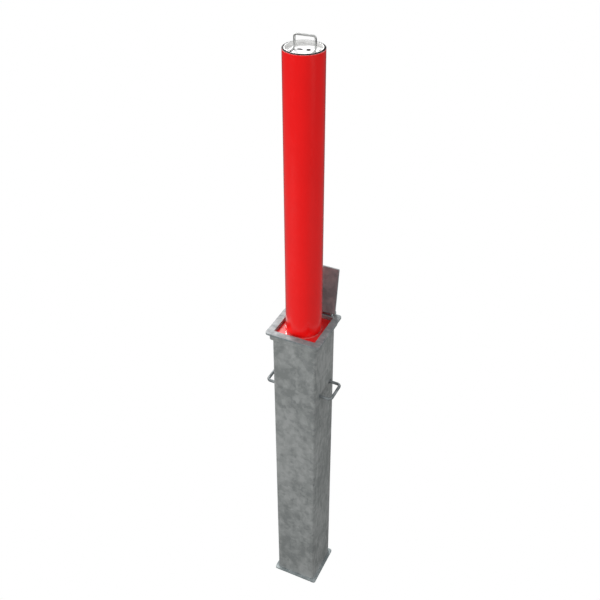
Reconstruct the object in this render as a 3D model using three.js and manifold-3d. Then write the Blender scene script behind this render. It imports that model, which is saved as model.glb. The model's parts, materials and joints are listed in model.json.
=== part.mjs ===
// Retractable bollard: a steel post that slides down into a square casing set in the ground,
// with a hinged lid, a folding pull handle and a keyed latch. Millimetres, +Z up.
// The origin is the centre of the base plate's underside. -Y is the front, and the lid
// is hinged at +Y. Each piece is drawn in its group's frame, and the groups place it.
import * as THREE from "three";
import { mergeVertices } from "three/addons/utils/BufferGeometryUtils.js";
import Module from "manifold-3d";

const wasm = await Module();
wasm.setup();

// ---------------------------------------------------------------- driving dimensions
const groundZ = 1180;         // paving level above the underside of the base plate
const gap = 0.3;              // room between two pieces that touch
const overcut = 1;            // how far a cutting tool runs past the piece it cuts
const fineSides = 64;         // faces round a large circle
const midSides = 32;
const smallSides = 20;
const curveSegments = 6;      // steps along each curve of a plate's outline or a rod's section

const caseSide = 150;         // square hollow section of the casing
const caseWall = 5;
const caseCorner = 9;

const baseLip = 10;           // how far the base plate stands out past the casing
const baseThick = 6;
const baseCorner = 8;
const drainRadius = 8;        // drain holes through the base plate
const drainReach = 40;

const frameLip = 17;          // how far the flange round the mouth stands out past the casing
const frameThick = 6;
const frameCorner = 10;
const collarLip = 8;          // stiffening collar under the flange, out past the casing
const collarTall = 22;

const loopRod = 10;           // anchor loops that the concrete grips
const loopReach = 40;
const loopHalf = 40;
const loopDepth = 243;
const loopBend = 14;
const loopSteps = 36;

const tubeOuter = 114.3;      // post tube
const tubeWall = 5;
const tubeRise = 885;         // top of the raised post above the paving
const tubeBelow = 240;        // what stays inside the casing when it is up
const postStroke = 905;

const guideThick = 8;         // square guide plates welded round the post
const guideSink = 12;         // top of the upper plate below the paving
const guideSlack = 1.5;       // running clearance to the casing, each side

const lugTall = 12;           // lugs in the casing that stop the lower plate
const lugWide = 30;
const lugReach = 10;
const notchSlack = 1.5;

const bufferRadius = 12;      // rubber buffers that the lowered post rests on
const bufferPlace = 50;

const sealThick = 2;          // black sealing ring on the end of the tube
const cupSink = 9;            // floor of the head cup below the rim
const cupFloor = 2;
const cupWall = 1.5;
const ringThick = 8;          // support ring that the cup is screwed to
const headTurn = THREE.MathUtils.degToRad(4);
const screwInward = 1.425;    // screws nearer the axis than the middle of the ring
const screwAngle = THREE.MathUtils.degToRad(113);
const screwRod = 4;
const screwHead = 7;
const screwHeadTall = 2.2;
const screwTail = 0.5;        // end of each screw below the ring

const handleRod = 6;          // folding pull handle
const handleHalf = 29;
const handleTop = 28;         // middle of the grip above the rim
const handleBack = 8;         // middle of the grip behind the post's axis
const handleKinkZ = -2.6;
const handlePivotY = -12;
const handlePivotZ = -18;
const handlePin = 8;          // length of each foot inside its block
const footY = 4;              // first corner of each leg, from the pivot
const footZ = 8;
const legBend = 4;            // where a leg's bends start before each corner
const gripBend = 7;           // and the two bends of the grip
const handleSteps = 96;       // sections along the handle
const slotSide = 1;           // room beside each leg in its slot
const slotFront = 26;         // ends of the slot, from the post's axis
const slotBack = 4;
const blockLong = 12;         // bearing blocks for the feet
const blockFront = 7;         // from the pivot to each face of a block
const blockBack = 5;
const blockBelow = 6;
const blockRoom = 1.28;       // from the blocks' far corners to the inside of the ring

const lockX = -12.5;          // lock, in the head's own frame
const lockY = 4;
const plugRadius = 8;
const lockTall = 34;
const keySlotLong = 12;
const keySlotWide = 3.8;
const keySlotDeep = 6;
const capX = 10;              // push-in cap beside the lock
const capY = 6.5;
const capRadius = 5.5;
const capStem = 4.5;
const capTall = 1.5;
const bodyWall = 1.7;         // brass sleeve round the lock

const rodRadius = 5;          // rod from the lock down to the latch
const bushRadius = 8;
const bushTall = 14;
const bracketThick = 5;
const bracketDrop = 90;       // upper bracket below the rim
const bracketLift = 42;       // lower bracket above the bolt

const crankRadius = 9.2;      // from the rod's axis to the crank pin
const crankDisc = 15;
const crankThick = 8;
const crankLift = 1;          // crank above the bolt
const pinRadius = 3;
const pinSlack = 0.6;

const boltThick = 12;         // latch bolt
const boltWide = 26;
const boltHold = 9.15;        // how far it stands over the front lug when locked
const boltTail = 12;
const boltSlack = 0.4;
const shelfThick = 6;
const channelWall = 6;        // housing over the bolt
const channelClear = 4;       // from its end to the crank

const lidSideInset = 2;       // sides of the hinged lid inside the casing's faces
const lidPast = 8;            // how much longer the lid is than the casing is wide
const lidThick = 6;
const lidCorner = 3;
const lidLean = THREE.MathUtils.degToRad(9.3);
const fingerRadius = 12;
const fingerInset = 34;
const hingeBehind = 3;        // hinge axis behind the casing's rear face
const hingePin = 3;
const pinProud = 1;           // hinge pin past its outer knuckles
const knuckleRadius = 4.5;
const knuckleSlack = 0.3;
const lidKnuckleHalf = 30;
const frameKnuckle = 30;
const lidStopTall = 14;
const lidStopWide = 9;
const lidStopDeep = 9;
const lidStopInset = 1;       // from the lid's edge to each stop

// ---------------------------------------------------------------- worked-out dimensions
const caseInner = caseSide - 2 * caseWall;
const baseSide = caseSide + 2 * baseLip;
const frameSide = caseSide + 2 * frameLip;
const collarSide = caseSide + 2 * collarLip;
const lidWide = caseSide - 2 * lidSideInset;
const lidLong = caseSide + lidPast;
const hingeY = caseSide / 2 + hingeBehind;
const casingTop = groundZ - frameThick;
const tubeRadius = tubeOuter / 2;
const tubeBore = tubeRadius - tubeWall;
const blockInner = handleHalf - handleRod / 2 - 2 * gap;
const ringInner = Math.hypot(blockInner, blockFront - handlePivotY) + blockRoom;
const guideSide = caseInner - 2 * guideSlack;
const boltReach = caseInner / 2 - lugReach + boltHold;
const lugTop = -tubeBelow + guideThick + gap + lugTall;
const boltFloor = lugTop + gap;
const boltRoof = boltFloor + boltThick;
const hingeLift = knuckleRadius + gap;
const lidTopFace = lidThick + gap - hingeLift;
const liningRadius = tubeBore - gap;
const screwCircle = (ringInner + liningRadius) / 2 - screwInward;
const rodX = lockX * Math.cos(headTurn) - lockY * Math.sin(headTurn);
const rodY = lockX * Math.sin(headTurn) + lockY * Math.cos(headTurn);
const crankAngle = Math.PI / 4;

// ---------------------------------------------------------------- finishes
function finish(color, roughness, metalness) {
  return new THREE.MeshStandardMaterial({ color, roughness, metalness });
}

const galvanised = finish(0x878989, 0.45, 0.8);
const redPaint = finish(0xd22222, 0.15, 0.0);
const stainless = finish(0xd9dadb, 0.15, 1.0);
const blackRubber = finish(0x1b1b1c, 0.7, 0.0);
const blackPlastic = finish(0x202022, 0.45, 0.0);
const brass = finish(0xb79a55, 0.3, 1.0);
const blackSteel = finish(0x2a2a2b, 0.4, 0.6);
const zincSteel = finish(0xa9acb0, 0.35, 0.9);
const whiteNylon = finish(0xe4e2da, 0.5, 0.0);

// ---------------------------------------------------------------- shape helpers
function roundedSquare(width, length, radius) {
  const x = width / 2;
  const y = length / 2;
  const shape = new THREE.Shape();
  shape.absarc(x - radius, y - radius, radius, 0, Math.PI / 2);
  shape.absarc(-x + radius, y - radius, radius, Math.PI / 2, Math.PI);
  shape.absarc(-x + radius, -y + radius, radius, Math.PI, 1.5 * Math.PI);
  shape.absarc(x - radius, -y + radius, radius, 1.5 * Math.PI, 2 * Math.PI);
  shape.closePath();
  return shape;
}

function circle(radius, x = 0, y = 0) {
  const path = new THREE.Path();
  path.absarc(x, y, radius, 0, 2 * Math.PI);
  return path;
}

function plate(shape, thick, holes = []) {
  shape.holes.push(...holes);
  return new THREE.ExtrudeGeometry(shape, { depth: thick, bevelEnabled: false, curveSegments });
}

function block(x0, x1, y0, y1, z0, z1) {
  const box = new THREE.BoxGeometry(x1 - x0, y1 - y0, z1 - z0);
  return box.translate((x0 + x1) / 2, (y0 + y1) / 2, (z0 + z1) / 2);
}

function disc(radius, thick, sides = midSides) {
  const cylinder = new THREE.CylinderGeometry(radius, radius, thick, sides);
  return cylinder.rotateX(Math.PI / 2).translate(0, 0, thick / 2);
}

function barrel(radius, x0, x1) {
  const cylinder = new THREE.CylinderGeometry(radius, radius, x1 - x0, smallSides);
  return cylinder.rotateZ(Math.PI / 2).translate((x0 + x1) / 2, 0, 0);
}

// A profile of [radius, height] points that runs anticlockwise, turned about Z.
function turned(profile, sides) {
  const points = profile.map(([radius, height]) => new THREE.Vector2(radius, height));
  return new THREE.LatheGeometry([...points, points[0].clone()], sides).rotateX(Math.PI / 2);
}

function sleeve(inner, outer, z0, z1, sides = fineSides) {
  return turned([[inner, z0], [outer, z0], [outer, z1], [inner, z1]], sides);
}

function roundRod(path, diameter, steps) {
  const section = new THREE.Shape();
  section.absarc(0, 0, diameter / 2, 0, 2 * Math.PI);
  const options = { steps, extrudePath: path, bevelEnabled: false, curveSegments };
  return new THREE.ExtrudeGeometry(section, options);
}

// ---------------------------------------------------------------- booleans
function toSolid(geometry) {
  const bare = geometry.clone();
  bare.deleteAttribute("normal");
  bare.deleteAttribute("uv");
  const merged = mergeVertices(bare);
  return new wasm.Manifold(new wasm.Mesh({
    numProp: 3,
    vertProperties: new Float32Array(merged.attributes.position.array),
    triVerts: new Uint32Array(merged.index.array),
  }));
}

function toGeometry(solid) {
  const mesh = solid.getMesh();
  const geometry = new THREE.BufferGeometry();
  geometry.setAttribute("position", new THREE.BufferAttribute(mesh.vertProperties, 3));
  geometry.setIndex(new THREE.BufferAttribute(mesh.triVerts, 1));
  geometry.computeVertexNormals();
  return geometry;
}

function cut(geometry, ...tools) {
  return toGeometry(tools.reduce((solid, tool) => solid.subtract(toSolid(tool)), toSolid(geometry)));
}

function join(geometry, ...others) {
  return toGeometry(others.reduce((solid, other) => solid.add(toSolid(other)), toSolid(geometry)));
}

// ---------------------------------------------------------------- scene graph
function add(group, name, geometry, material, x = 0, y = 0, z = 0) {
  const mesh = new THREE.Mesh(geometry, material);
  mesh.name = name;
  mesh.position.set(x, y, z);
  group.add(mesh);
  return mesh;
}

function buildCasing(group) {
  const outline = roundedSquare(caseSide, caseSide, caseCorner);
  const bore = roundedSquare(caseInner, caseInner, caseCorner - caseWall);
  const wallTall = casingTop - baseThick - 2 * gap;
  add(group, "casing_tube", plate(outline, wallTall, [bore]), galvanised, 0, 0, baseThick + gap);

  const drains = [[1, 0], [0, 1], [-1, 0], [0, -1]];
  const holes = drains.map(([x, y]) => circle(drainRadius, x * drainReach, y * drainReach));
  const base = plate(roundedSquare(baseSide, baseSide, baseCorner), baseThick, holes);
  add(group, "base_plate", base, galvanised);

  const mouth = roundedSquare(caseInner, caseInner, caseCorner - caseWall);
  const flange = plate(roundedSquare(frameSide, frameSide, frameCorner), frameThick, [mouth]);
  add(group, "top_frame", flange, galvanised, 0, 0, casingTop);

  const seat = roundedSquare(caseSide + 2 * gap, caseSide + 2 * gap, caseCorner + gap);
  const collar = plate(roundedSquare(collarSide, collarSide, frameCorner), collarTall, [seat]);
  add(group, "frame_collar", collar, galvanised, 0, 0, casingTop - gap - collarTall);
}

function loopPath(side) {
  const inner = side * (caseSide / 2 + gap);
  const outer = side * (caseSide / 2 + loopReach);
  const bend = side * loopBend;
  const path = new THREE.CurvePath();
  const corner = (x, y) => new THREE.Vector3(x, y, 0);
  path.add(new THREE.LineCurve3(corner(inner, -loopHalf), corner(outer - bend, -loopHalf)));
  path.add(new THREE.QuadraticBezierCurve3(
    corner(outer - bend, -loopHalf), corner(outer, -loopHalf), corner(outer, -loopHalf + loopBend)));
  path.add(new THREE.LineCurve3(corner(outer, -loopHalf + loopBend), corner(outer, loopHalf - loopBend)));
  path.add(new THREE.QuadraticBezierCurve3(
    corner(outer, loopHalf - loopBend), corner(outer, loopHalf), corner(outer - bend, loopHalf)));
  path.add(new THREE.LineCurve3(corner(outer - bend, loopHalf), corner(inner, loopHalf)));
  return path;
}

function buildAnchorLoops(group) {
  for (const [name, side] of [["anchor_loop_left", -1], ["anchor_loop_right", 1]]) {
    add(group, name, roundRod(loopPath(side), loopRod, loopSteps), galvanised, 0, 0, groundZ - loopDepth);
  }
}

function buildStopsAndBuffers(group) {
  const wall = caseInner / 2 - gap;
  for (const [name, side] of [["stop_lug_front", -1], ["stop_lug_rear", 1]]) {
    const far = side * wall;
    const near = side * (wall - lugReach + gap);
    const half = lugWide / 2;
    const lug = block(-half, half, Math.min(far, near), Math.max(far, near), -lugTall, 0);
    add(group, name, lug, galvanised, 0, 0, groundZ + lugTop);
  }
  const lowest = groundZ - tubeBelow - postStroke;
  const corners = [[1, 1], [-1, 1], [-1, -1], [1, -1]];
  corners.forEach(([x, y], index) => {
    const buffer = disc(bufferRadius, lowest - baseThick - 2 * gap, smallSides);
    const name = `rest_buffer_${index + 1}`;
    add(group, name, buffer, blackRubber, x * bufferPlace, y * bufferPlace, baseThick + gap);
  });
}

function buildHinge(group) {
  const axisZ = groundZ + hingeLift;
  const start = lidKnuckleHalf + 2 * gap;
  const end = start + frameKnuckle;
  for (const [name, side] of [["frame_knuckle_left", -1], ["frame_knuckle_right", 1]]) {
    const x0 = Math.min(side * start, side * end);
    const knuckle = barrel(knuckleRadius, x0, x0 + frameKnuckle);
    const bore = barrel(hingePin + knuckleSlack, x0 - overcut, x0 + frameKnuckle + overcut);
    add(group, name, cut(knuckle, bore), zincSteel, 0, hingeY, axisZ);
  }
  const pin = barrel(hingePin, -end - pinProud, end + pinProud);
  add(group, "hinge_pin", pin, stainless, 0, hingeY, axisZ);

  const leanReach = (lidStopTall - hingeLift) * Math.tan(lidLean);
  const stopReach = leanReach + lidTopFace / Math.cos(lidLean) + gap;
  const stopX = lidWide / 2 - lidStopInset - lidStopWide / 2;
  for (const [name, side] of [["lid_stop_left", -1], ["lid_stop_right", 1]]) {
    const half = lidStopWide / 2;
    const stop = block(-half, half, stopReach, stopReach + lidStopDeep, gap, lidStopTall);
    add(group, name, stop, galvanised, side * stopX, hingeY, groundZ);
  }
}

// The lid is drawn closed, with the hinge axis as its origin, and is turned open as a group.
function buildLid(group) {
  const near = knuckleRadius + gap;
  const finger = circle(fingerRadius, 0, -lidLong / 2 + fingerInset);
  const panel = plate(roundedSquare(lidWide, lidLong, lidCorner), lidThick, [finger]);
  add(group, "lid_plate", panel, galvanised, 0, -near - lidLong / 2, lidTopFace - lidThick);

  const knuckle = barrel(knuckleRadius, -lidKnuckleHalf, lidKnuckleHalf);
  const boreEnd = lidKnuckleHalf + overcut;
  const bore = barrel(hingePin + knuckleSlack, -boreEnd, boreEnd);
  add(group, "lid_knuckle", cut(knuckle, bore), zincSteel);
}

function guidePlate(notched) {
  const outline = roundedSquare(guideSide, guideSide, caseCorner - caseWall);
  const hole = disc(tubeRadius + gap, guideThick + 2 * overcut, fineSides).translate(0, 0, -overcut);
  const square = cut(plate(outline, guideThick), hole);
  if (!notched) {
    return square;
  }
  const half = lugWide / 2 + notchSlack;
  const depth = caseInner / 2 - lugReach - notchSlack;
  const front = block(-half, half, -guideSide, -depth, -overcut, guideThick + overcut);
  const rear = block(-half, half, depth, guideSide, -overcut, guideThick + overcut);
  return cut(square, front, rear);
}

function buildPost(group) {
  const wall = sleeve(tubeBore, tubeRadius, -tubeBelow, tubeRise - sealThick - gap, fineSides);
  const half = boltWide / 2 + boltSlack;
  const window = block(-half, half, -tubeOuter, 0, boltFloor - boltSlack, boltRoof + boltSlack);
  add(group, "post_tube", cut(wall, window), redPaint);

  add(group, "guide_plate_upper", guidePlate(true), redPaint, 0, 0, -guideSink - guideThick);
  add(group, "guide_plate_lower", guidePlate(false), redPaint, 0, 0, -tubeBelow);
}

function buildLatchHousing(group) {
  const shelfTop = boltFloor - boltSlack;
  const shelf = disc(liningRadius, shelfThick, fineSides);
  add(group, "latch_shelf", shelf, zincSteel, 0, 0, shelfTop - shelfThick);

  const inner = boltWide / 2 + boltSlack;
  const outer = inner + channelWall;
  const outline = new THREE.Shape();
  const floor = shelfTop + gap;
  const roof = boltRoof + boltSlack;
  outline.moveTo(-outer, floor);
  outline.lineTo(-inner, floor);
  outline.lineTo(-inner, roof);
  outline.lineTo(inner, roof);
  outline.lineTo(inner, floor);
  outline.lineTo(outer, floor);
  outline.lineTo(outer, roof + channelWall);
  outline.lineTo(-outer, roof + channelWall);
  outline.closePath();
  const guideEnd = rodY - crankDisc - channelClear;
  const guideStart = -Math.sqrt(liningRadius ** 2 - outer ** 2);
  const channel = plate(outline, guideEnd - guideStart).rotateX(Math.PI / 2);
  add(group, "latch_guide", channel, zincSteel, 0, guideEnd, 0);

  const levels = [["upper", tubeRise - bracketDrop], ["lower", boltRoof + bracketLift]];
  for (const [level, z] of levels) {
    const seat = disc(bushRadius + gap, bracketThick + 2 * overcut).translate(rodX, rodY, -overcut);
    const bracket = cut(disc(liningRadius, bracketThick, fineSides), seat);
    add(group, `rod_bracket_${level}`, bracket, zincSteel, 0, 0, z);
    const bush = sleeve(rodRadius + gap, bushRadius, 0, bushTall, midSides);
    add(group, `rod_bush_${level}`, bush, whiteNylon, rodX, rodY, z + (bracketThick - bushTall) / 2);
  }
}

function handleSlot(side, z0, z1) {
  const half = handleRod / 2 + slotSide;
  const middle = side * handleHalf;
  return block(middle - half, middle + half, -slotFront, slotBack, z0, z1);
}

function screwPlaces() {
  return [0, 1, 2, 3].map((turn) => {
    const angle = screwAngle + turn * Math.PI / 2;
    return [screwCircle * Math.cos(angle), screwCircle * Math.sin(angle)];
  });
}

// The head is drawn with the rim as z = 0 and is turned a little round the post's axis.
function buildHead(group) {
  add(group, "rim_seal", sleeve(tubeBore, tubeRadius, -sealThick, 0, fineSides), blackRubber);

  const floorTop = -cupSink;
  const floorLow = floorTop - cupFloor;
  const ringTop = floorLow - gap;
  const ringLow = ringTop - ringThick;
  const through = (radius, x, y, sides = smallSides) =>
    disc(radius + gap, -ringLow, sides).translate(x, y, ringLow - overcut);
  const screwHoles = screwPlaces().map(([x, y]) => through(screwRod / 2, x, y));
  const slots = [-1, 1].map((side) => handleSlot(side, ringLow - overcut, 0));
  const lockHole = through(plugRadius, lockX, lockY, midSides);
  const capHole = through(capStem, capX, capY);

  const base = disc(liningRadius, cupFloor, fineSides).translate(0, 0, floorLow);
  const wall = sleeve(liningRadius - cupWall, liningRadius, floorLow, -sealThick / 2, fineSides);
  const cup = cut(join(base, wall), ...screwHoles, ...slots, lockHole, capHole);
  add(group, "head_cup", cup, stainless);

  const ring = sleeve(ringInner, liningRadius, ringLow, ringTop);
  add(group, "head_ring", cut(ring, ...screwHoles, ...slots), zincSteel);

  const headLow = floorTop + gap - ringLow;
  screwPlaces().forEach(([x, y], index) => {
    const shank = disc(screwRod / 2, headLow + screwTail, smallSides);
    const head = disc(screwHead / 2, screwHeadTall, smallSides).translate(0, 0, headLow);
    add(group, `cup_screw_${index + 1}`, join(shank, head), stainless, x, y, ringLow);
  });

  for (const [name, side] of [["handle_block_left", -1], ["handle_block_right", 1]]) {
    const x0 = Math.min(side * blockInner, side * (blockInner - blockLong));
    const x1 = x0 + blockLong;
    const front = handlePivotY - blockFront;
    const body = block(x0, x1, front, handlePivotY + blockBack, handlePivotZ - blockBelow, ringTop);
    const bore = barrel(handleRod / 2 + gap, x0 - overcut, x1 + overcut);
    add(group, name, cut(body, bore.translate(0, handlePivotY, handlePivotZ)), zincSteel);
  }

  const bodyOuter = plugRadius + gap + bodyWall;
  const body = sleeve(plugRadius + gap, bodyOuter, ringTop - lockTall, ringTop, midSides);
  add(group, "lock_body", body, brass, lockX, lockY, 0);

  const stem = disc(capStem, 2 * cupFloor, smallSides).translate(0, 0, -2 * cupFloor);
  const neck = disc(capStem / 2, 2 * gap, smallSides).translate(0, 0, -gap / 2);
  const cap = join(disc(capRadius, capTall).translate(0, 0, gap), stem, neck);
  add(group, "hole_cap", cap, blackPlastic, capX, capY, floorTop);
}

// The handle is drawn standing, with its hinge axis through the origin.
function handlePath() {
  const kinkY = handleBack - handlePivotY;
  const kinkZ = handleKinkZ - handlePivotZ;
  const topZ = handleTop - handlePivotZ;
  const corners = [];
  const bends = [];
  for (const side of [-1, 1]) {
    const half = side * handleHalf;
    const run = [
      [side * (handleHalf - handleRod / 2 - gap - handlePin), 0, 0],
      [half, 0, 0],
      [half, footY, footZ],
      [half, kinkY, kinkZ],
      [half, kinkY, topZ],
    ];
    const runBends = [0, legBend, legBend, legBend, gripBend];
    corners.push(...(side < 0 ? run : run.reverse()));
    bends.push(...(side < 0 ? runBends : runBends.reverse()));
  }
  return roundedPath(corners.map((corner) => new THREE.Vector3(...corner)), bends);
}

// Straight lengths joined by quadratic bends, each starting its own length before its corner.
function roundedPath(corners, bends) {
  const path = new THREE.CurvePath();
  let from = corners[0];
  for (let index = 1; index < corners.length - 1; index += 1) {
    const corner = corners[index];
    const bend = bends[index];
    const before = new THREE.Vector3().subVectors(corners[index - 1], corner).setLength(bend).add(corner);
    const after = new THREE.Vector3().subVectors(corners[index + 1], corner).setLength(bend).add(corner);
    path.add(new THREE.LineCurve3(from, before));
    path.add(new THREE.QuadraticBezierCurve3(before, corner, after));
    from = after;
  }
  path.add(new THREE.LineCurve3(from, corners[corners.length - 1]));
  return path;
}

function buildHandle(group) {
  add(group, "pull_handle", roundRod(handlePath(), handleRod, handleSteps), stainless);
}

// Everything on the rod's axis, from the key slot to the crank pin.
function buildLockTrain(group) {
  const floorTop = tubeRise - cupSink;
  const plugLow = floorTop - cupFloor - lockTall;
  const plug = disc(plugRadius, floorTop - plugLow, midSides).translate(0, 0, -floorTop + plugLow);
  const long = keySlotLong / 2;
  const wide = keySlotWide / 2;
  const keySlot = block(-long, long, -wide, wide, -keySlotDeep, overcut);
  add(group, "lock_plug", cut(plug, keySlot), blackSteel, 0, 0, floorTop);

  const crankLow = boltRoof + crankLift;
  const rodLow = crankLow + crankThick + gap;
  const rod = disc(rodRadius, plugLow - gap - rodLow, smallSides);
  add(group, "drive_rod", rod, zincSteel, 0, 0, rodLow);
  add(group, "rod_crank", disc(crankDisc, crankThick, midSides), zincSteel, 0, 0, crankLow);

  const pinLow = boltFloor + crankLift;
  const pinX = crankRadius * Math.cos(crankAngle);
  const pinY = -crankRadius * Math.sin(crankAngle);
  const pin = disc(pinRadius, crankLow - gap - pinLow, smallSides);
  add(group, "crank_pin", pin, stainless, pinX, pinY, pinLow);
}

// The bolt is drawn locked, across the front wall of the tube and over the front lug.
function buildBolt(group) {
  const pinY = rodY - crankRadius * Math.sin(crankAngle);
  const half = boltWide / 2;
  const bar = block(-half, half, -boltReach, pinY + boltTail, boltFloor, boltRoof);
  const room = pinRadius + pinSlack;
  const slotLeft = rodX + crankRadius * Math.cos(crankAngle) - room - overcut;
  const slotRight = rodX + crankRadius + room + overcut;
  const low = boltFloor - overcut;
  const slot = block(slotLeft, slotRight, pinY - room, pinY + room, low, boltRoof + overcut);
  add(group, "latch_bolt", cut(bar, slot), stainless);
}

function childGroup(parent, x, y, z) {
  const group = new THREE.Group();
  group.position.set(x, y, z);
  parent.add(group);
  return group;
}

const bollard = new THREE.Group();
const casing = childGroup(bollard, 0, 0, 0);
buildCasing(casing);
buildAnchorLoops(casing);
buildStopsAndBuffers(casing);
buildHinge(casing);

const lid = childGroup(bollard, 0, hingeY, groundZ + hingeLift);
lid.rotation.x = -(Math.PI / 2 + lidLean);
buildLid(lid);

const post = childGroup(bollard, 0, 0, groundZ);
buildPost(post);
buildLatchHousing(post);

const head = childGroup(post, 0, 0, tubeRise);
head.rotation.z = headTurn;
buildHead(head);
buildHandle(childGroup(head, 0, handlePivotY, handlePivotZ));

buildLockTrain(childGroup(post, rodX, rodY, 0));
buildBolt(post);

export default bollard;
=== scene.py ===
"""Retractable bollard: the finished pieces and surfaces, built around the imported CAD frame."""
import json
import math

import bmesh
import bpy
from bpy.props import FloatProperty, FloatVectorProperty, PointerProperty
from mathutils import Matrix, Vector, noise


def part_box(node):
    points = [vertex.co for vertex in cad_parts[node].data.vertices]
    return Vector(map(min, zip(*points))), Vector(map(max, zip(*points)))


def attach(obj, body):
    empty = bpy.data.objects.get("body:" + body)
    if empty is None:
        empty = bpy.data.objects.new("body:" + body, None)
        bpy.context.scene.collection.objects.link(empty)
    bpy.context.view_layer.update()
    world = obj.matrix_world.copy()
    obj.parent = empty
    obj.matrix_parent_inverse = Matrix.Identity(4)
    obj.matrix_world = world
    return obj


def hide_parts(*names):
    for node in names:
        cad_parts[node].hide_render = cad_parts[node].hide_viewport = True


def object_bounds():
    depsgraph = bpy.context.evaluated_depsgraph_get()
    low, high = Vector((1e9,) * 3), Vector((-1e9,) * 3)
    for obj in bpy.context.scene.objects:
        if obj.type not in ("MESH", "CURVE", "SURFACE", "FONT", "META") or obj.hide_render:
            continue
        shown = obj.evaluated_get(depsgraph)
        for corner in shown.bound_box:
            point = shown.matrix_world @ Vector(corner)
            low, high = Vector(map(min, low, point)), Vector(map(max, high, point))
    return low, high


bl_info = {
    "name": "Retractable Bollard",
    "version": (1, 0, 0),
    "blender": (4, 5, 0),
    "location": "3D View > Sidebar > Bollard",
    "description": "Builds the finished pieces and surfaces of a retractable bollard",
    "category": "Object",
}

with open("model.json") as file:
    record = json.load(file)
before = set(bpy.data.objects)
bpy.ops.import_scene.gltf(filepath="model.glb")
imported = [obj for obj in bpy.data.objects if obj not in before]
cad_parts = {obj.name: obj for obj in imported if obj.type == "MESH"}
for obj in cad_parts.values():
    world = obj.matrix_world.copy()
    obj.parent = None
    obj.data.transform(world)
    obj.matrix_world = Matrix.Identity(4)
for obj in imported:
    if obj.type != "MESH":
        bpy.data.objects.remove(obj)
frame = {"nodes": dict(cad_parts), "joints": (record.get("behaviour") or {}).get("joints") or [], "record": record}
CAD_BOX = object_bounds()
MM = 0.001
UP = Vector((0, 0, 1))
MERGE_WITHIN = 1e-6
TUBE_FACETS = 128
CUP_FACETS = 96
HANDLE_HALF_WIDTH = 29 * MM


def linear(colour):
    """An sRGB hex colour as a linear RGBA tuple."""
    channels = [int(colour[index:index + 2], 16) / 255 for index in (1, 3, 5)]
    straight = [c / 12.92 if c <= 0.04045 else ((c + 0.055) / 1.055) ** 2.4 for c in channels]
    return (*straight, 1.0)


# ---------------------------------------------------------------- settings
def length_setting(name, description, default):
    """A length property with its default in millimetres."""
    return FloatProperty(name=name, description=description, default=default * MM, min=0.0,
                         unit="LENGTH", subtype="DISTANCE", precision=5)


def colour_setting(name, description, default):
    """A colour property with its default as an sRGB hex value."""
    return FloatVectorProperty(name=name, description=description, default=linear(default),
                               size=4, min=0.0, max=1.0, subtype="COLOR")


class BollardSizes(bpy.types.PropertyGroup):
    """Small sizes that the CAD model leaves to the finished surface."""
    plate_edge: length_setting("Plate edge", "Rounding on the edges of cut plate", 0.7)
    casing_corner: length_setting("Casing corner", "Outer corner radius of the casing", 9.0)
    casing_wall: length_setting("Casing wall", "Wall of the casing section", 5.0)
    weld_radius: length_setting("Weld bead", "Radius of the weld beads", 2.2)
    weld_pitch: length_setting("Weld pitch", "Distance between ripples in a weld bead", 4.5)
    tube_wall: length_setting("Tube wall", "Wall of the post tube", 5.0)
    rod_bend: length_setting("Handle bend", "Bend length at the handle's grip corners", 7.0)


class BollardColours(bpy.types.PropertyGroup):
    """Base colours of the finishes."""
    zinc_light: colour_setting("Zinc, light", "Brightest areas of the galvanised coat", "#b1b4b3")
    zinc_dark: colour_setting("Zinc, dark", "Dullest areas of the galvanised coat", "#8c908f")
    plate_light: colour_setting("Plate, light", "Brightest areas of galvanised plate", "#959c9d")
    plate_dark: colour_setting("Plate, dark", "Dullest areas of galvanised plate", "#767e80")
    # The rod colours also colour the weld beads, where the dark coat is partly painted shade along the casing's
    # foot.
    rod_light: colour_setting("Rod, light", "Brightest zinc on the loops and welds", "#868b8d")
    rod_dark: colour_setting("Rod, dark", "Dullest zinc on the loops and welds", "#5c6163")
    red: colour_setting("Red", "Powder coat on the post and its guide plates", "#f01010")
    stainless: colour_setting("Stainless", "Blasted stainless sheet", "#f4f4f3")
    drawn: colour_setting("Drawn stainless", "Rod that the handle is bent from", "#bdbebd")
    plated: colour_setting("Plated steel", "Zinc plate on the hinge and latch", "#8d9093")
    blackened: colour_setting("Blackened steel", "Black oxide on the lock plug", "#2a2a2b")
    rubber: colour_setting("Rubber", "Seal and buffers", "#131314")
    plastic: colour_setting("Black plastic", "Push-in cap", "#191a1b")
    nylon: colour_setting("Nylon", "Bushes on the drive rod", "#e4e2da")
    brass: colour_setting("Brass", "Lock body", "#c2a05a")
    floor: colour_setting("Floor", "Studio floor", "#ffffff")
    floor_return: colour_setting("Floor return", "Light the floor gives the object", "#5e5e5e")


class BollardSettings(bpy.types.PropertyGroup):
    """What the sidebar shows."""
    sizes: PointerProperty(type=BollardSizes)
    colours: PointerProperty(type=BollardColours)


def sizes():
    """The sizes that the sidebar shows."""
    return bpy.context.scene.bollard.sizes


def colours():
    """The colours that the sidebar shows."""
    return bpy.context.scene.bollard.colours


# ---------------------------------------------------------------- finishes
def set_inputs(tree, node, inputs):
    """Sets each input of a node to a value, or links it to another node's output."""
    for socket, value in inputs.items():
        if isinstance(value, bpy.types.NodeSocket):
            tree.links.new(value, node.inputs[socket])
        else:
            node.inputs[socket].default_value = value


def add_node(tree, kind, inputs=None, **settings):
    """Adds a shader node, sets its properties, and sets or links its inputs."""
    made = tree.nodes.new(kind)
    for key, value in settings.items():
        setattr(made, key, value)
    set_inputs(tree, made, inputs or {})
    return made


def set_ramp(ramp, stops):
    """Gives a colour ramp its stops, each a place and a colour."""
    elements = ramp.color_ramp.elements
    while len(elements) > 1:
        elements.remove(elements[-1])
    for index, (place, colour) in enumerate(stops):
        element = elements[0] if index == 0 else elements.new(place)
        element.position = place
        element.color = colour


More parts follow.
